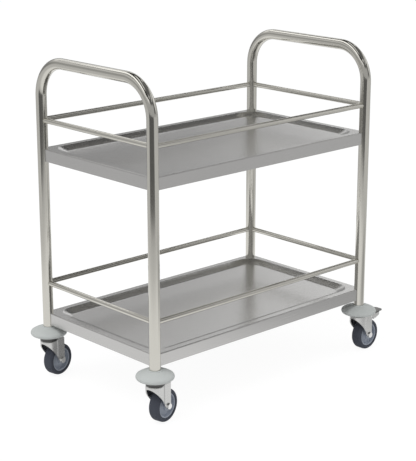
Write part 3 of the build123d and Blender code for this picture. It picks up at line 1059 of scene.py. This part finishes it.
class TROLLEY_OT_wheels(bpy.types.Operator):
    """Turn the hubs and tyres"""

    bl_idname = "trolley.wheels"
    bl_label = "Wheels"

    def tyre(self, hub_radius, half, sizes):
        """A ring with round shoulders that sits on the hub."""
        shoulder = sizes.tyre_shoulder
        seat = hub_radius + sizes.seat_clearance
        ring = WHEEL_RADIUS - shoulder
        section = [
            (seat, half),
            *arc((ring, half - shoulder), shoulder, 90, 0, TYRE_SHOULDER_STEPS),
            *arc((ring, shoulder - half), shoulder, 0, -90, TYRE_SHOULDER_STEPS),
            (seat, -half),
        ]
        tyre = turn_section("tyre", section, axle=True)
        smooth(tyre, angle=40)
        return tyre

    def hub(self, hub_radius, half, sizes):
        """A boss, a thinner web and a rim, all with rounded edges and hollows."""
        rim = half - sizes.hub_rim_inset
        rim_inner = hub_radius - sizes.hub_rim_depth
        boss = sizes.hub_boss_diameter / 2
        boss_face = sizes.hub_boss_half
        web = sizes.hub_web / 2
        edge = sizes.hub_edge_radius
        hollow = 2 * edge
        boss_hollow = (boss + hollow, web + sizes.hub_web_draft + hollow)
        rim_hollow = (rim_inner - hollow, web + hollow)
        rounds = (
            ((boss - edge, boss_face - edge), edge, 90, 0),
            (boss_hollow, hollow, 180, 260),
            (rim_hollow, hollow, 280, 360),
            ((rim_inner + edge, rim - edge), edge, 180, 90),
            ((hub_radius - edge, rim - edge), edge, 90, 0),
        )
        one_side = [(sizes.hub_bore_radius, boss_face)]
        for rounding in rounds:
            one_side += arc(*rounding, SMALL_ROUND_STEPS)
        other_side = [(radius, -across) for radius, across in reversed(one_side)]
        hub = turn_section("hub", one_side + other_side, axle=True)
        smooth(hub, angle=35)
        return hub

    def execute(self, context):
        sizes = context.scene.trolley_sizes
        half = sizes.tyre_width / 2
        hub_radius = WHEEL_RADIUS - sizes.tyre_depth
        tyre = self.tyre(hub_radius, half, sizes)
        spread(tyre, "tyre", "wheel_{}", "tyre_rubber", "tyre_rubber", CORNERS)
        hub = self.hub(hub_radius, half, sizes)
        spread(hub, "hub", "wheel_{}", "hub_plastic", "hub_plastic", CORNERS)
        return {"FINISHED"}


class TROLLEY_OT_brake_pedals(bpy.types.Operator):
    """Finish the brake pedals and their pins"""

    bl_idname = "trolley.brake_pedals"
    bl_label = "Brake pedals"

    def pedal(self, node):
        """A free copy of the CAD pedal, with its triangles merged back into faces."""
        pedal = copy_piece(frame["nodes"][node], f"{node}_piece", Matrix.Identity(4))
        pedal.parent = None
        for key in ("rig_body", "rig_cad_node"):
            del pedal[key]
        select_only(pedal)
        bpy.ops.mesh.customdata_custom_splitnormals_clear()
        bpy.ops.object.mode_set(mode="EDIT")
        bpy.ops.mesh.select_all(action="SELECT")
        bpy.ops.mesh.remove_doubles(threshold=0.001 * MM)
        bpy.ops.mesh.dissolve_limited(angle_limit=math.radians(1))
        bpy.ops.object.mode_set(mode="OBJECT")
        return pedal

    def execute(self, context):
        for corner in BRAKED:
            node = f"brake_pedal_{corner}"
            pedal = self.pedal(node)
            finish_pressing(pedal, context.scene.trolley_sizes.pressed_edge)
            dress(pedal, f"pedal_{corner}", "castor_steel", "pedal_plate", node)
        dress_nodes("brake_pin", "bolt_plate")
        return {"FINISHED"}


class TROLLEY_OT_stage(bpy.types.Operator):
    """Set the floor, the studio light and the camera"""

    bl_idname = "trolley.stage"
    bl_label = "Stage"

    def ray_kinds(self, wire):
        """Whether a ray is the camera's own, and whether it is a reflected or transmitted one."""
        camera, glossy, passing = (
            wire.node("ShaderNodeLightPath", output=f"Is {kind} Ray")
            for kind in ("Camera", "Glossy", "Transmission")
        )
        return camera, glossy.maths("MAXIMUM", glossy, passing)

    def studio(self, ray, towards, stage):
        """Level of the studio that the steel shows, by the direction of the ray.

        Each pair of numbers is where an edge starts and where it is full, on a direction of length 1.
        """
        height = ray.part("Z")
        forward = ray.along(towards)
        aside = ray.along((-towards[1], towards[0], 0))
        on_right = aside.step(-0.02, 0.12)

        # Walls: behind the trolley paler to the right and above, in front darker in the corners,
        # with a pale panel in the right one
        rise = height.step(0.15, 0.4)
        back = 0.29 + 0.26 * rise + aside.step(-0.06, 0.14) * (0.23 + 0.66 * rise)
        above_floor = height.step(0.04, 0.12)
        panel = ray.along((-towards[1], -towards[0], 0)).step(-0.05, 0.06)
        right_corner = aside.step(0.75, 0.9) * above_floor
        left_corner = (-aside).step(0.7, 0.9) * above_floor
        front = 0.5 - 0.08 * left_corner - right_corner * (0.38 - 0.75 * panel)
        in_front = forward.step(-0.45, -0.15)
        wall = back * (1 - in_front) + front * in_front

        # Dark ceiling with a strip light across its left half
        strip = (1 - on_right) * height.band((0.4, 0.46), (0.56, 0.61))
        front_right = on_right * forward.step(-0.45, -0.32)
        ceiling = 0.95 * height.step(0.42, 0.46) * (1 - strip) * (1 - 0.25 * front_right)
        room = wall * (1 - ceiling) + stage.strip_level * strip

        # Light boxes at both sides, the left one reaching lower
        boxes = height.step(0.36, 0.42) * (1 - on_right) + height.step(0.52, 0.56) * on_right
        boxes = boxes * aside.size().step(0.57, 0.75) * (1 - height.step(0.68, 0.74))
        room = room * (1 - boxes) + stage.box_level * boxes

        # Lamps on the left, on the right and overhead
        left_lamp = (-aside).band((0.29, 0.35), (0.55, 0.63)) * height.step(0.58, 0.63)
        right_lamp = aside.band((0.28, 0.33), (0.37, 0.42)) * height.band((0.66, 0.7), (0.75, 0.78))
        overhead = height.step(0.84, 0.9) * (1 - aside.size().step(0.05, 0.11))
        return room + stage.left_lamp_level * left_lamp + stage.right_lamp_level * right_lamp + overhead

    def world(self, stage, towards):
        """White to the camera, even light on the object, and the studio for the steel to show."""
        world = bpy.data.worlds.new("studio")
        world.use_nodes = True
        bpy.context.scene.world = world
        ray = Wire(world.node_tree).node("ShaderNodeTexCoord", output="Generated")
        camera, glossy = self.ray_kinds(ray)
        level = stage.ambient * (1 - glossy) + self.studio(ray, towards, stage) * glossy
        level = level * (1 - camera) + camera
        background = world.node_tree.nodes["Background"]
        world.node_tree.links.new(level.socket, background.inputs["Color"])

    def shown_floor(self, point, towards):
        """Level of the floor that the steel shows, darker away from the trolley and with a painted
        shadow below it.

        Each pair of numbers is where an edge starts and where it is full, in metres or as a part of 1.
        """
        aside = Vector((-towards[1], towards[0], 0))
        distance = point.reach((0, 0, 0))
        behind = -point.along(towards)

        # Pale near the trolley, with a dark card far in front, a dark patch on the right and a painted
        # shadow below
        level = 0.95 - 0.3 * distance.step(0.9, 1.65) - 0.1 * behind.step(0.8, 2.2)
        heading = point.vector("NORMALIZE", point).along(Vector(towards) - 0.2 * aside)
        card = distance.step(1.8, 2.3) * heading.step(0.72, 0.82)
        patch_centre = 0.1 * Vector(towards) + aside
        patch = 1 - point.reach(patch_centre).step(0.15, 0.75)
        # Painted shadow of the trolley, a soft dark rectangle under it
        far_along = point.part("X").size().step(0.26, 0.4)
        far_across = point.part("Y").size().step(0.12, 0.26)
        shadow_below = (1 - far_along) * (1 - far_across)
        return level * (1 - 0.8 * card) * (1 - 0.5 * patch) * (1 - 0.7 * shadow_below)

    def floor(self, stage, towards):
        """A pale floor that reads white and keeps the shadow."""
        white_level = 1.15
        white_share = 0.8
        floor = add_piece(
            "floor",
            bpy.ops.mesh.primitive_plane_add,
            size=stage.floor_size,
            location=(0, 0, -stage.floor_drop),
        )
        bpy.ops.mesh.subdivide(number_cuts=3)
        bpy.ops.object.mode_set(mode="OBJECT")
        material = bpy.data.materials.new("floor_paper")
        material.use_nodes = True
        nodes = material.node_tree.nodes
        nodes.remove(nodes["Principled BSDF"])
        point = Wire(material.node_tree).node("ShaderNodeTexCoord", output="Object")
        mottle = point.noise(scale=30.0, detail=2.0, rough=0.5)
        paper = varied(mottle, stage.floor, dark=0.985, light=1.0)
        lit = point.node("ShaderNodeBsdfDiffuse", None, {"Color": paper})
        white = point.node("ShaderNodeEmission", None, {"Strength": white_level})
        mirrored = point.node("ShaderNodeEmission", None, {"Color": self.shown_floor(point, towards)})
        camera, glossy = self.ray_kinds(point)
        seen = point.node("ShaderNodeMixShader", None, {0: white_share * camera, 1: lit, 2: white})
        seen = point.node("ShaderNodeMixShader", None, {0: glossy, 1: seen, 2: mirrored})
        material.node_tree.links.new(seen.socket, nodes["Material Output"].inputs["Surface"])
        floor.data.materials.append(material)

    def lamp(self, name, power, size, place):
        """A soft light, aimed at the lower tier, that neither the camera nor the steel sees."""
        aim = Vector((0, 0, 0.3))
        bpy.ops.object.select_all(action="DESELECT")
        bpy.ops.object.light_add(type="AREA", location=place)
        lamp = bpy.context.object
        lamp.name = lamp.data.name = name
        lamp.data.energy = power
        lamp.data.shape = "RECTANGLE"
        lamp.data.size, lamp.data.size_y = size
        lamp.rotation_euler = (aim - Vector(place)).to_track_quat("-Z", "Y").to_euler()
        lamp.visible_glossy = False
        lamp.visible_camera = False

    def camera(self, stage, look):
        """A camera that looks at its aim along a direction."""
        bpy.ops.object.select_all(action="DESELECT")
        bpy.ops.object.camera_add(
            location=Vector(stage.camera_aim) - look * stage.camera_distance,
            rotation=look.to_track_quat("-Z", "Y").to_euler(),
        )
        camera = bpy.context.object
        camera.name = camera.data.name = "studio_camera"
        camera.data.lens = stage.lens
        camera.data.sensor_width = 36
        camera.data.clip_end = 100
        return camera

    def execute(self, context):
        stage = context.scene.trolley_stage
        turn, pitch = stage.camera_turn, stage.camera_pitch
        towards = (-math.sin(turn), -math.cos(turn), 0)
        level = math.cos(pitch)
        look = Vector((math.sin(turn) * level, math.cos(turn) * level, -math.sin(pitch)))
        self.world(stage, towards)
        self.floor(stage, towards)
        self.lamp("key_light", stage.key_power, size=(2.2, 2.2), place=(-1.8, -0.2, 3.0))
        self.lamp("fill_light", stage.fill_power, size=(2.5, 1.5), place=(2.4, -2.0, 1.6))
        context.scene.camera = self.camera(stage, look)
        context.scene.view_settings.view_transform = "Standard"
        return {"FINISHED"}


OPERATORS = (
    TROLLEY_OT_end_frames,
    TROLLEY_OT_gallery_rails,
    TROLLEY_OT_trays,
    TROLLEY_OT_bumpers,
    TROLLEY_OT_swivels,
    TROLLEY_OT_forks,
    TROLLEY_OT_axles,
    TROLLEY_OT_wheels,
    TROLLEY_OT_brake_pedals,
    TROLLEY_OT_stage,
)


class TROLLEY_PT_build(bpy.types.Panel):
    """The trolley's pieces, one button each"""

    bl_label = "Service Trolley"
    bl_idname = "TROLLEY_PT_build"
    bl_space_type = "VIEW_3D"
    bl_region_type = "UI"
    bl_category = "Trolley"

    def draw(self, context):
        for operator in OPERATORS:
            self.layout.operator(operator.bl_idname)


GROUPS = {
    "trolley_sizes": TrolleySizes,
    "trolley_finishes": TrolleyFinishes,
    "trolley_stage": TrolleyStage,
}


def register():
    for made in (*GROUPS.values(), *OPERATORS, TROLLEY_PT_build):
        bpy.utils.register_class(made)
    for name, group in GROUPS.items():
        setattr(bpy.types.Scene, name, PointerProperty(type=group))


def unregister():
    for name in GROUPS:
        delattr(bpy.types.Scene, name)
    for made in (TROLLEY_PT_build, *reversed(OPERATORS), *GROUPS.values()):
        bpy.utils.unregister_class(made)


def main():
    register()
    for operator in OPERATORS:
        group, name = operator.bl_idname.split(".")
        getattr(getattr(bpy.ops, group), name)()


if __name__ == "__main__":
    main()
